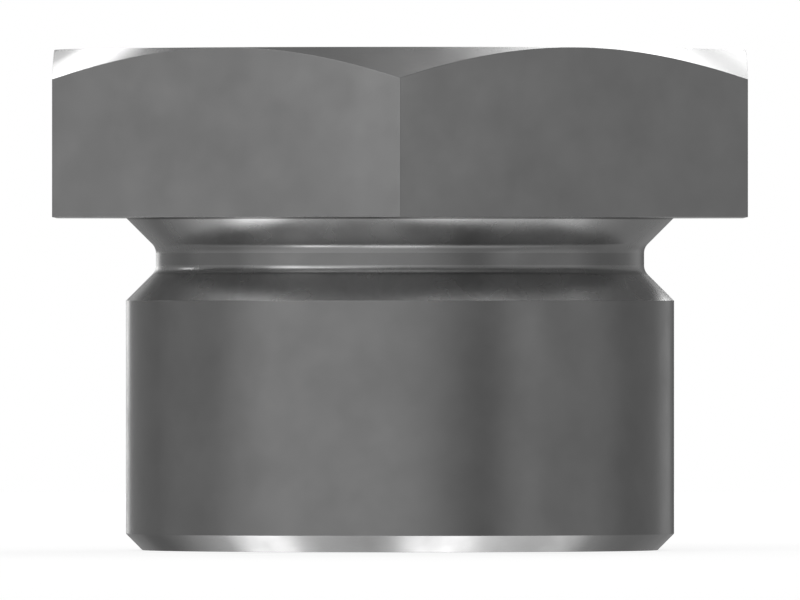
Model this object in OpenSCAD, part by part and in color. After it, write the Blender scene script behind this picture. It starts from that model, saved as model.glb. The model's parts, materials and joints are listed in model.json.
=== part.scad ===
// Screw-in pipe plug with a hexagon head, for a 3/8 inch parallel pipe thread.
// It is turned from one piece of hexagon steel bar: head, relief groove, threaded shank.
// Millimetres. +Z runs up the axis from the end of the shank, which stands on z = 0, to the head.
// Two flats of the hexagon face +X and -X, and two of its corners lie on the Y axis.

/* [Head] */
// Width across the flats, which is the spanner size
across_flats = 21; // [19:0.5:30]
// Height of the head, from its seat to its top
head_h = 5.1; // [2.5:0.1:15]
// Slope of the chamfer round the top, measured from the flat top
head_chamfer_angle = 30; // [15:1:45]
// How far inside the flats the chamfer starts on the flat top
head_chamfer_inset = 0.01; // [0.01:0.01:1]

/* [Shank] */
// Major diameter of the pipe thread
thread_d = 16.662; // [15.5:0.001:18.5]
// Length of the shank, from the head's seat to its end
shank_l = 10.1; // [6:0.1:25]
// Height and depth of the 45 degree lead-in chamfer at the shank's end
lead_chamfer = 0.5; // [0.1:0.1:2]

/* [Relief groove] */
// Diameter at the bottom of the groove, a little under the thread's root
groove_d = 14.84; // [10:0.02:16]
// Length of the groove's bottom, from flank to flank
groove_floor_l = 0.7; // [0.3:0.1:3]
// Slope of the groove's two flanks, measured from the axis
groove_flank_angle = 45; // [30:5:80]
// Radius between the groove's bottom and each flank
groove_fillet_r = 0.4; // [0.05:0.05:0.8]

/* [Hidden] */
$fn = 96;

head_corner_r = across_flats / 2 / cos(30);
head_chamfer_r = across_flats / 2 - head_chamfer_inset;
thread_r = thread_d / 2;
groove_r = groove_d / 2;

// The shank's section runs on to this height inside the head, so that the two are one solid
section_top_z = shank_l + head_h / 2;

// The groove opens against the head's seat, and its lower flank runs out at the thread
flank_h = (thread_r - groove_r) / tan(groove_flank_angle);
floor_top_z = shank_l - flank_h;
floor_bottom_z = floor_top_z - groove_floor_l;
thread_top_z = floor_bottom_z - flank_h;

// Each fillet reaches this far along the floor and the flank. Two of them share the floor,
// so each takes less than half of it, and the flank keeps a straight stretch too.
fillet_half_turn = groove_flank_angle / 2;
flank_l = (thread_r - groove_r) / sin(groove_flank_angle);
fillet_reach = min(
    groove_fillet_r * tan(fillet_half_turn),
    0.45 * groove_floor_l,
    0.9 * flank_l
);
fillet_r = fillet_reach / tan(fillet_half_turn);
fillet_centre_r = groove_r + fillet_r;

// Where a fillet leaves the flank: outward from the floor's corner, and up or down from it
flank_touch = fillet_reach * [sin(groove_flank_angle), cos(groove_flank_angle)];

// The hexagon bar's end, with its corners turned off by a shallow cone
module head() {
    intersection() {
        rotate([0, 0, 30]) cylinder(r = head_corner_r, h = head_h, $fn = 6);
        cylinder(
            r1 = head_chamfer_r + head_h / tan(head_chamfer_angle),
            r2 = head_chamfer_r,
            h = head_h
        );
    }
}

// Half section of the shank. Each inside corner of the groove is filled as far as the centre
// of its fillet, and the fillet's circle is then cut out of that filling.
module shank_section() {
    difference() {
        polygon([
            [0, 0],
            [thread_r - lead_chamfer, 0],
            [thread_r, lead_chamfer],
            [thread_r, thread_top_z],
            [groove_r + flank_touch[0], floor_bottom_z - flank_touch[1]],
            [fillet_centre_r, floor_bottom_z + fillet_reach],
            [groove_r, floor_bottom_z + fillet_reach],
            [groove_r, floor_top_z - fillet_reach],
            [fillet_centre_r, floor_top_z - fillet_reach],
            [groove_r + flank_touch[0], floor_top_z + flank_touch[1]],
            [thread_r, shank_l],
            [thread_r, section_top_z],
            [0, section_top_z]
        ]);
        for (z = [floor_bottom_z + fillet_reach, floor_top_z - fillet_reach])
            translate([fillet_centre_r, z]) circle(r = fillet_r);
    }
}

module plug() {
    color("dimgray") {
        translate([0, 0, shank_l]) head();
        rotate_extrude() shank_section();
    }
}

plug();
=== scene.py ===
"""Looks of a screw-in pipe plug: one turned piece of satin steel on a plain white table."""

import json
import math

import bpy
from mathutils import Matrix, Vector


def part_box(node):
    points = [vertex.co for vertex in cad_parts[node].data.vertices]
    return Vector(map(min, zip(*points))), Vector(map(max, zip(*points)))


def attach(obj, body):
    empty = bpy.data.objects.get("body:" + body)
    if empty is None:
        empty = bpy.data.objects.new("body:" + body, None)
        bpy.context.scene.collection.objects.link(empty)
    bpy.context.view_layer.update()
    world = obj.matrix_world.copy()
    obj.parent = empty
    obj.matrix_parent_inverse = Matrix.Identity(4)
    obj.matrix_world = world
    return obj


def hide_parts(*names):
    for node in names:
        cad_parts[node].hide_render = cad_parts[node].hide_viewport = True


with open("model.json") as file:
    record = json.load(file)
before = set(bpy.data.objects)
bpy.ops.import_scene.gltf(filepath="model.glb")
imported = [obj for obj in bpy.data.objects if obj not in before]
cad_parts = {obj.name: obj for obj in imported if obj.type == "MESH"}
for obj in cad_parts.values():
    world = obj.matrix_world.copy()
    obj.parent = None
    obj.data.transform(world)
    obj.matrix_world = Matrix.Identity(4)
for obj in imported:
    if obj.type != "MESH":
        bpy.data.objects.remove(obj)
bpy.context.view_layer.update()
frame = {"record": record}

MM = 0.001
WHITE = (1, 1, 1, 1)

# Sizes of the plug that its frame and mounts give
MOUNTS = {mount["name"]: mount for mount in frame["record"]["mounts"]}
THREAD = MOUNTS["thread"]
HALF_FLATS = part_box("plug")[1].x
TOP_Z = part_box("plug")[1].z
SEAT_Z = MOUNTS["seat_face"]["pos_m"][2]
THREAD_R = THREAD["dims"]["r_mm"] * MM
THREAD_TOP_Z = THREAD["pos_m"][2] + THREAD["dims"]["length_mm"] * MM / 2
# The lead-in chamfer, at 45 degrees, takes all that is below the thread
THREAD_BOTTOM_Z = THREAD["pos_m"][2] - THREAD["dims"]["length_mm"] * MM / 2

# Sizes of the plug that the frame doesn't give
HEAD_CHAMFER_SLOPE = math.tan(math.radians(30))
HEAD_CHAMFER_INSET = 0.01 * MM
HEAD_CHAMFER_R = HALF_FLATS - HEAD_CHAMFER_INSET
GROOVE_R = 7.42 * MM
GROOVE_FILLET = 0.4 * MM
EDGE_BREAK = 0.02 * MM
SEAT_BREAK = 0.008 * MM
CORNER_BREAK = 0.06 * MM

# How finely the mesh is divided: degrees between its columns, and steps in each small rounding and fillet.
# One more column stands this many times as far from a corner as the rounding's end, for a gentle change.
COLUMN_STEP = 1.25
BREAK_STEPS = 3
FILLET_STEPS = 16
OUTER_COLUMN = 3

# A rounding takes at most this share of the shorter stretch beside it
LONGEST_REACH = 0.45

# Finishes of the stretches of the section, as material indices
TURNED, DRAWN, CUT, FACED = 0, 1, 2, 3

# The hexagon's corners, of which the first looks at the camera, and the rounding on each: its centre's
# distance from the axis, and half its spread
CORNERS = 6
FIRST_CORNER = -90
HALF_SECTOR = math.radians(30)
ROUNDING_CENTRE = (HALF_FLATS - CORNER_BREAK) / math.cos(HALF_SECTOR)
ROUNDING_EDGE = math.atan2(
    CORNER_BREAK * math.sin(HALF_SECTOR), ROUNDING_CENTRE + CORNER_BREAK * math.cos(HALF_SECTOR)
)


def outline(angle):
    """The hexagon's rounded outline at an angle from its nearest corner: its distance from the axis, and
    the angle of its normal from that corner."""
    if abs(angle) < ROUNDING_EDGE:
        off_centre = ROUNDING_CENTRE * math.sin(angle)
        radius = ROUNDING_CENTRE * math.cos(angle) + math.sqrt(CORNER_BREAK**2 - off_centre**2)
        return radius, math.atan2(radius * math.sin(angle), radius * math.cos(angle) - ROUNDING_CENTRE)
    return HALF_FLATS / math.cos(HALF_SECTOR - abs(angle)), math.copysign(HALF_SECTOR, angle)


def columns():
    """Angles of the mesh's columns from the nearest corner of the hexagon, finer in its rounding."""
    steps = round(math.degrees(HALF_SECTOR) / COLUMN_STEP)
    coarse = [HALF_SECTOR * k / steps for k in range(1, steps + 1)]
    fine = [ROUNDING_EDGE * k / BREAK_STEPS for k in range(1, BREAK_STEPS + 1)]
    one_side = sorted(fine + [OUTER_COLUMN * ROUNDING_EDGE] + coarse)
    return [-angle for angle in reversed(one_side[:-1])] + [0.0] + one_side


def section(wall_r):
    """Corners of the half section where the hexagon's wall is at wall_r, from the top's centre to the
    bottom's: radius, height, rounding, steps in the rounding, and finish of the stretch that follows."""
    flank = THREAD_R - GROOVE_R
    head_edge_z = TOP_Z - (wall_r - HEAD_CHAMFER_R) * HEAD_CHAMFER_SLOPE
    return [
        (0, TOP_Z, 0, 0, TURNED),
        (HEAD_CHAMFER_R, TOP_Z, EDGE_BREAK, BREAK_STEPS, TURNED),
        (wall_r, head_edge_z, EDGE_BREAK, BREAK_STEPS, DRAWN),
        (wall_r, SEAT_Z, SEAT_BREAK, BREAK_STEPS, FACED),
        (THREAD_R, SEAT_Z, SEAT_BREAK, BREAK_STEPS, CUT),
        (GROOVE_R, SEAT_Z - flank, GROOVE_FILLET, FILLET_STEPS, TURNED),
        (GROOVE_R, THREAD_TOP_Z + flank, GROOVE_FILLET, FILLET_STEPS, FACED),
        (THREAD_R, THREAD_TOP_Z, EDGE_BREAK, BREAK_STEPS, TURNED),
        (THREAD_R, THREAD_BOTTOM_Z, EDGE_BREAK, BREAK_STEPS, TURNED),
        (THREAD_R - THREAD_BOTTOM_Z, 0, EDGE_BREAK, BREAK_STEPS, TURNED),
        (0, 0, 0, 0, TURNED),
    ]


def rounded(corners, column, wall_normal):
    """The points of one column of the mesh, with the section's corners rounded. column and wall_normal are
    angles round the axis: the column's own, and that of the hexagon's normal there. Each point has its
    place, its normal and the finish of what follows it. The groove's fillets are cut, and the small
    roundings are turned, whatever they join."""
    spots = [Vector((c[0], c[1])) for c in corners]
    stretches = []
    for spot, following, corner in zip(spots, spots[1:], corners):
        along = (following - spot).normalized()
        turn = wall_normal if corner[4] == DRAWN else column
        stretches.append(Vector((-along.y * math.cos(turn), -along.y * math.sin(turn), along.x)))
    points = []
    for i in range(1, len(corners) - 1):
        radius, steps, finish = corners[i][2:]
        back, ahead = spots[i - 1] - spots[i], spots[i + 1] - spots[i]
        half = back.angle(ahead) / 2
        reach = min(radius / math.tan(half), LONGEST_REACH * min(back.length, ahead.length))
        middle = (back.normalized() + ahead.normalized()).normalized()
        centre = spots[i] + middle * (reach / math.cos(half))
        start = spots[i] + back.normalized() * reach - centre
        end = spots[i] + ahead.normalized() * reach - centre
        turn = start.angle_signed(end)
        bend = CUT if steps == FILLET_STEPS else TURNED
        for k in range(steps + 1):
            angle = -turn * k / steps
            across = centre.x + start.x * math.cos(angle) - start.y * math.sin(angle)
            height = centre.y + start.x * math.sin(angle) + start.y * math.cos(angle)
            place = Vector((across * math.cos(column), across * math.sin(column), height))
            normal = stretches[i - 1].slerp(stretches[i], k / steps)
            points.append((place, normal, bend if k < steps else finish))
    return points


def plug_mesh():
    """The whole plug as one closed mesh of columns, with a small rounding on every edge. Every vertex has
    the true normal of its surface, so that flats stay flat to the light right up to their roundings."""
    vertices, normals, faces, finishes = [], [], [], []
    count = 0
    for corner in range(CORNERS):
        corner_angle = math.radians(360 / CORNERS * corner + FIRST_CORNER)
        for angle in columns():
            wall_r, normal_turn = outline(angle)
            points = rounded(section(wall_r), corner_angle + angle, corner_angle + normal_turn)
            vertices += [place for place, _, _ in points]
            normals += [normal for _, normal, _ in points]
            count += 1
    rows = [finish for _, _, finish in points]
    inner = len(rows)
    top, bottom = len(vertices), len(vertices) + 1
    vertices += [Vector((0, 0, TOP_Z)), Vector((0, 0, 0))]
    normals += [Vector((0, 0, 1)), Vector((0, 0, -1))]
    for c in range(count):
        here, there = c * inner, (c + 1) % count * inner
        faces.append((top, here, there))
        finishes.append(TURNED)
        for r in range(inner - 1):
            faces.append((here + r, here + r + 1, there + r + 1, there + r))
            finishes.append(rows[r])
        faces.append((bottom, there + inner - 1, here + inner - 1))
        finishes.append(TURNED)
    mesh = bpy.data.meshes.new("turned_plug")
    mesh.from_pydata(vertices, [], faces)
    mesh.polygons.foreach_set("material_index", finishes)
    mesh.shade_smooth()
    mesh.normals_split_custom_set_from_vertices(normals)
    return mesh


def tree_of(owner):
    """The node tree of a material or world, emptied."""
    owner.use_nodes = True
    owner.node_tree.nodes.clear()
    return owner.node_tree


def add(tree, kind, inputs=None, **settings):
    """Adds a node. inputs gives its sockets by name or number: a value, or a socket to link."""
    node = tree.nodes.new(kind)
    for name, value in settings.items():
        setattr(node, name, value)
    for key, value in (inputs or {}).items():
        if isinstance(value, bpy.types.NodeSocket):
            tree.links.new(value, node.inputs[key])
        else:
            node.inputs[key].default_value = value
    return node


def maths(tree, operation, *values):
    return add(tree, "ShaderNodeMath", dict(enumerate(values)), operation=operation).outputs[0]


def spread(tree, value, low, high, interpolation="LINEAR", source=(0, 1)):
    """Carries a value from the range source to the range from low to high."""
    inputs = {"Value": value, "From Min": source[0], "From Max": source[1], "To Min": low, "To Max": high}
    return add(tree, "ShaderNodeMapRange", inputs, interpolation_type=interpolation).outputs[0]


def noise(tree, vector, per_mm, detail=2.0, roughness=0.5):
    inputs = {"Vector": vector, "Scale": per_mm / MM, "Detail": detail, "Roughness": roughness}
    return add(tree, "ShaderNodeTexNoise", inputs).outputs["Fac"]


def line_noise(tree, along, per_mm, detail=2.0):
    inputs = {"W": along, "Scale": per_mm / MM, "Detail": detail}
    return add(tree, "ShaderNodeTexNoise", inputs, noise_dimensions="1D").outputs["Fac"]


# Tones of the steel where it is turned or drawn, where the groove is cut, and where the seat and the
# groove's lower flank are faced. The last two are rougher than the first. The cut and faced tones are
# lighter copies of the same steel: painted light in the groove and on the seat.
STEEL = 0.22
CUT_STEEL_PAINTED_LIGHT = 0.28
FACED_STEEL_PAINTED_LIGHT = 0.37
ROUGHNESS = 0.22
CUT_ROUGHNESS = 0.26

# Clouds vary the tone by a share of it, and the roughness by an amount. Their noise keeps to this range.
CLOUD = 0.07
CLOUDS_PER_MM = 0.55
SHINE_CLOUD = 0.04
SHINES_PER_MM = 0.9
CLOUD_RANGE = (0.3, 0.7)

# Marks of the lathe and of the drawing die: how many to the millimetre, and how deep. The die's are longer
# along the bar, as if squashed by this much before the noise is read.
TURNING_PER_MM = 14
TURNING_DEPTH = 0.00012 * MM
DRAWING_PER_MM = 1.2
DRAWING_DEPTH = 0.002 * MM
DRAWING_SQUASH = (1, 1, 0.6)

# The front corner of the hexagon is a little lighter near its top, fading over this distance
LIGHTER_SPOT = (0, -HALF_FLATS / math.cos(HALF_SECTOR), TOP_Z - 1.2 * MM)
LIGHTER_SPOT_REACH = 7 * MM
LIGHTER_SPOT_GAIN = 0.2

# Painted shade darkens the crevice under the head to this depth, in full from the second depth up
CREVICE = 0.07 * MM
CREVICE_FULL = 0.6 * CREVICE
CREVICE_DARK = 0.7


def steel(name, marks, tone_shift, tone, roughness):
    """Satin steel with soft clouds. marks makes its tool marks' height and depth from tree and position,
    and the last function argument gives how much lighter or darker its colour is made, painted shade in the
    crevice included."""
    material = bpy.data.materials.new(name)
    tree = tree_of(material)
    position = add(tree, "ShaderNodeTexCoord").outputs["Object"]
    cloud = noise(tree, position, CLOUDS_PER_MM, detail=3.0, roughness=0.55)
    shine = noise(tree, position, SHINES_PER_MM)
    height, depth = marks(tree, position)
    level = spread(tree, cloud, tone * (1 - CLOUD), tone * (1 + CLOUD), source=CLOUD_RANGE)
    level = maths(tree, "MULTIPLY", level, tone_shift(tree, position))
    colour = add(tree, "ShaderNodeCombineColor", {0: level, 1: level, 2: level}).outputs[0]
    rough = spread(tree, shine, roughness - SHINE_CLOUD, roughness + SHINE_CLOUD, source=CLOUD_RANGE)
    bump = add(tree, "ShaderNodeBump", {"Height": height, "Distance": depth, "Strength": 1.0})
    shader = add(tree, "ShaderNodeBsdfPrincipled", {
        "Base Color": colour, "Metallic": 1.0, "Roughness": rough, "Normal": bump.outputs["Normal"],
    })
    add(tree, "ShaderNodeOutputMaterial", {"Surface": shader.outputs[0]})
    return material


def front_corner_lightening(tree, position):
    """How much lighter the steel is made: more than 1 round the front corner of the hexagon."""
    away = add(tree, "ShaderNodeVectorMath", {0: position, 1: LIGHTER_SPOT}, operation="DISTANCE")
    return spread(tree, away.outputs["Value"], 1 + LIGHTER_SPOT_GAIN, 1, "SMOOTHSTEP", (0, LIGHTER_SPOT_REACH))


def crevice_shade(tree, position):
    """How much darker the steel is painted, as shade: less than 1 where the groove meets the head."""
    axes = add(tree, "ShaderNodeSeparateXYZ", {0: position}).outputs
    depths = (SEAT_Z - CREVICE, SEAT_Z - CREVICE_FULL)
    return spread(tree, axes[2], 1, 1 - CREVICE_DARK, "SMOOTHSTEP", depths)


def unchanged_tone(tree, position):
    """Steel whose colour is neither lightened nor painted with shade."""
    return 1.0


def turning_marks(tree, position):
    """Rings round the axis, as a lathe tool leaves on a cylinder, a cone or a face."""
    axes = add(tree, "ShaderNodeSeparateXYZ", {0: position}).outputs
    radius = maths(tree, "SQRT", maths(
        tree, "ADD", maths(tree, "MULTIPLY", axes[0], axes[0]), maths(tree, "MULTIPLY", axes[1], axes[1])
    ))
    across, along = [line_noise(tree, value, TURNING_PER_MM) for value in (radius, axes[2])]
    return maths(tree, "ADD", across, along), TURNING_DEPTH


def drawn_marks(tree, position):
    """The slight waviness of a bar drawn through a die, longest along the bar."""
    squash = add(tree, "ShaderNodeVectorMath", {0: position, 1: DRAWING_SQUASH}, operation="MULTIPLY")
    return noise(tree, squash.outputs[0], DRAWING_PER_MM), DRAWING_DEPTH


def build_plug():
    mesh = plug_mesh()
    mesh.materials.append(steel("turned_steel", turning_marks, unchanged_tone, STEEL, ROUGHNESS))
    mesh.materials.append(steel("drawn_steel", drawn_marks, front_corner_lightening, STEEL, ROUGHNESS))
    # The cut and faced steels are lighter than the turned steel, which is painted light in the groove and
    # on the seat; the cut steel also carries the crevice's painted shade.
    mesh.materials.append(steel("cut_steel_painted_light_and_shade", turning_marks, crevice_shade, CUT_STEEL_PAINTED_LIGHT, CUT_ROUGHNESS))
    mesh.materials.append(steel("faced_steel_painted_light", turning_marks, unchanged_tone, FACED_STEEL_PAINTED_LIGHT, CUT_ROUGHNESS))
    piece = bpy.data.objects.new("turned_plug", mesh)
    bpy.context.scene.collection.objects.link(piece)
    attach(piece, "root")
    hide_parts("plug")


def direction(azimuth, elevation):
    """A direction from the plug, in degrees: azimuth from the camera's side towards +X, elevation above
    level."""
    a, e = math.radians(azimuth), math.radians(elevation)
    return Vector((math.sin(a) * math.cos(e), -math.cos(a) * math.cos(e), math.sin(e)))


# The studio round the plug, as soft round patches of light on grey walls: name, azimuth, elevation, angle
# from the middle to the end of full strength, angle to the rim, strength. The strength of shade is below 0.
WALLS = 0.34
PATCHES = [
    ("left_wall", -30, 0, 20, 68, 0.43),
    ("far_left", -103, 0, 4, 20, 0.15),
    ("right_wall", 74, 0, 8, 38, 0.19),
    ("right_edge", 52, 0, 3, 14, 0.14),
    ("back_left_edge", -164, 3, 2, 5, 1.6),
    ("back_left_end", -170, 3, 2, 5, 1.6),
    ("back_left_corner", -172, 15, 3, 8, 0.6),
    ("back_left_shade", -167, 11, 3, 9, -0.12),
    ("back_left_low_shade", -154, -25, 4, 10, -0.12),
    ("back_right_shade", 168, 0, 3, 9, -0.2),
    ("back_right_wall", 149, 0, 3, 11, 0.12),
    ("back_right_edge", 176, 14, 3, 8, 2.2),
    ("back_right_corner", 166, 21, 3, 9, 1.5),
    ("back_right_low", 161, 19, 2, 6, 3.4),
    ("back_right_high", 160, 58, 3, 16, 0.3),
    ("ceiling", 180, 90, 20, 80, 0.16),
    ("left_high", -122, 16, 2, 6, 4.0),
    ("front_left_high", -54, 18, 6, 13, 2.3),
    ("front_left_high_end", -35, 20, 3, 11, 1.4),
    ("front_high", -12, 26, 6, 24, 0.8),
    ("table_top", 0, -90, 10, 60, 0.7),
    ("table_middle", 98, -82, 1, 11, 4.4),
    ("table_right", 111, -69, 3, 14, 1.2),
    ("table_far_right", 127, -53, 1, 8, 1.6),
    ("table_far_left", -133, -47, 3, 13, 0.4),
    ("table_left", -120, -60, 1, 10, 4.4),
    ("table_left_middle", -109, -71, 4, 13, 0.5),
    ("table_front_left", -56, -58, 3, 13, 3.2),
    ("table_front", -5, -61, 6, 18, 1.8),
]


def studio():
    """The world. It is plain white to the camera and through glass. The plug in the photo mirrors grey
    walls with soft lights on them and a pale table below, so glossy rays meet those in its place."""
    world = bpy.data.worlds.new("studio")
    bpy.context.scene.world = world
    tree = tree_of(world)
    towards = add(tree, "ShaderNodeTexCoord").outputs["Generated"]
    light = WALLS
    for name, azimuth, elevation, full, rim, strength in PATCHES:
        middle = direction(azimuth, elevation)
        facing = add(tree, "ShaderNodeVectorMath", {0: towards, 1: middle}, operation="DOT_PRODUCT")
        cosines = (math.cos(math.radians(rim)), math.cos(math.radians(full)))
        patch = spread(tree, facing.outputs["Value"], 0, strength, "SMOOTHSTEP", cosines)
        patch.node.label = name
        light = maths(tree, "ADD", light, patch)
    path = add(tree, "ShaderNodeLightPath").outputs
    plain = maths(tree, "MAXIMUM", path["Is Camera Ray"], path["Is Transmission Ray"])
    room = add(tree, "ShaderNodeBackground", {"Color": WHITE, "Strength": light})
    white = add(tree, "ShaderNodeBackground", {"Color": WHITE, "Strength": 1.0})
    seen = add(tree, "ShaderNodeMixShader", {0: plain, 1: room.outputs[0], 2: white.outputs[0]})
    add(tree, "ShaderNodeOutputWorld", {"Surface": seen.outputs[0]})


# Softboxes: name, azimuth, elevation, width and height in degrees as the plug sees them, brightness
LAMPS = [
    ("back_right_softbox", 163, 42, 14, 25, 4.5),
    ("back_left_softbox", -164, 27, 16, 12, 4.0),
]
LAMP_DISTANCE = 0.6


def softbox(name, azimuth, elevation, width, height, brightness):
    """One lamp, aimed at the top of the plug, and as bright as given whatever its size."""
    lamp = bpy.data.lights.new(name, "AREA")
    lamp.shape = "RECTANGLE"
    lamp.size = 2 * LAMP_DISTANCE * math.tan(math.radians(width / 2))
    lamp.size_y = 2 * LAMP_DISTANCE * math.tan(math.radians(height / 2))
    lamp.energy = brightness * math.pi * lamp.size * lamp.size_y
    thing = bpy.data.objects.new(name, lamp)
    bpy.context.scene.collection.objects.link(thing)
    aim = direction(azimuth, elevation)
    thing.location = Vector((0, 0, TOP_Z)) + aim * LAMP_DISTANCE
    thing.rotation_mode = "QUATERNION"
    thing.rotation_quaternion = aim.to_track_quat("Z", "Y")
    thing.visible_camera = False


# The table is a disc, and lies a hair below the plug, so that the two faces don't share a plane
FLOOR_R = 0.25
FLOOR_SIDES = 96
FLOOR_Z = -0.002 * MM
FLOOR_GLOW = 0.76
FLOOR_COLOUR = 0.35


def floor():
    """A white table. It glows to the camera alone, so that it is white there, and it takes the plug's
    shadow. The metal sees the studio's own patch of light below in its place."""
    mesh = bpy.data.meshes.new("table")
    turns = [math.tau * k / FLOOR_SIDES for k in range(FLOOR_SIDES)]
    ring = [(FLOOR_R * math.cos(turn), FLOOR_R * math.sin(turn), FLOOR_Z) for turn in turns]
    mesh.from_pydata(ring, [], [range(FLOOR_SIDES)])
    material = bpy.data.materials.new("table_white")
    tree = tree_of(material)
    lit = add(tree, "ShaderNodeBsdfDiffuse", {"Color": (FLOOR_COLOUR,) * 3 + (1,)})
    glow = add(tree, "ShaderNodeEmission", {"Color": WHITE, "Strength": FLOOR_GLOW})
    seen = add(tree, "ShaderNodeAddShader", {0: lit.outputs[0], 1: glow.outputs[0]})
    to_camera = add(tree, "ShaderNodeLightPath").outputs["Is Camera Ray"]
    whole = add(tree, "ShaderNodeMixShader", {0: to_camera, 1: lit.outputs[0], 2: seen.outputs[0]})
    add(tree, "ShaderNodeOutputMaterial", {"Surface": whole.outputs[0]})
    mesh.materials.append(material)
    table = bpy.data.objects.new("table", mesh)
    bpy.context.scene.collection.objects.link(table)
    table.visible_glossy = False
    table.visible_shadow = False


# The camera looks level at the middle of the plug, from far away with a long lens. The frame's width is
# what it sees at the plug's axis.
CAMERA_DISTANCE = 0.84
CAMERA_NEAR = 0.1
SENSOR_WIDTH = 36
FRAME_WIDTH = 24.316 * MM


def camera():
    data = bpy.data.cameras.new("camera")
    data.sensor_width = SENSOR_WIDTH
    data.lens = SENSOR_WIDTH * CAMERA_DISTANCE / FRAME_WIDTH
    data.clip_start = CAMERA_NEAR
    thing = bpy.data.objects.new("camera", data)
    thing.location = (0, -CAMERA_DISTANCE, TOP_Z / 2)
    thing.rotation_euler = (math.radians(90), 0, 0)
    bpy.context.scene.collection.objects.link(thing)
    bpy.context.scene.camera = thing


camera()
build_plug()
floor()
studio()
for softbox_row in LAMPS:
    softbox(*softbox_row)
bpy.context.scene.view_settings.view_transform = "Standard"
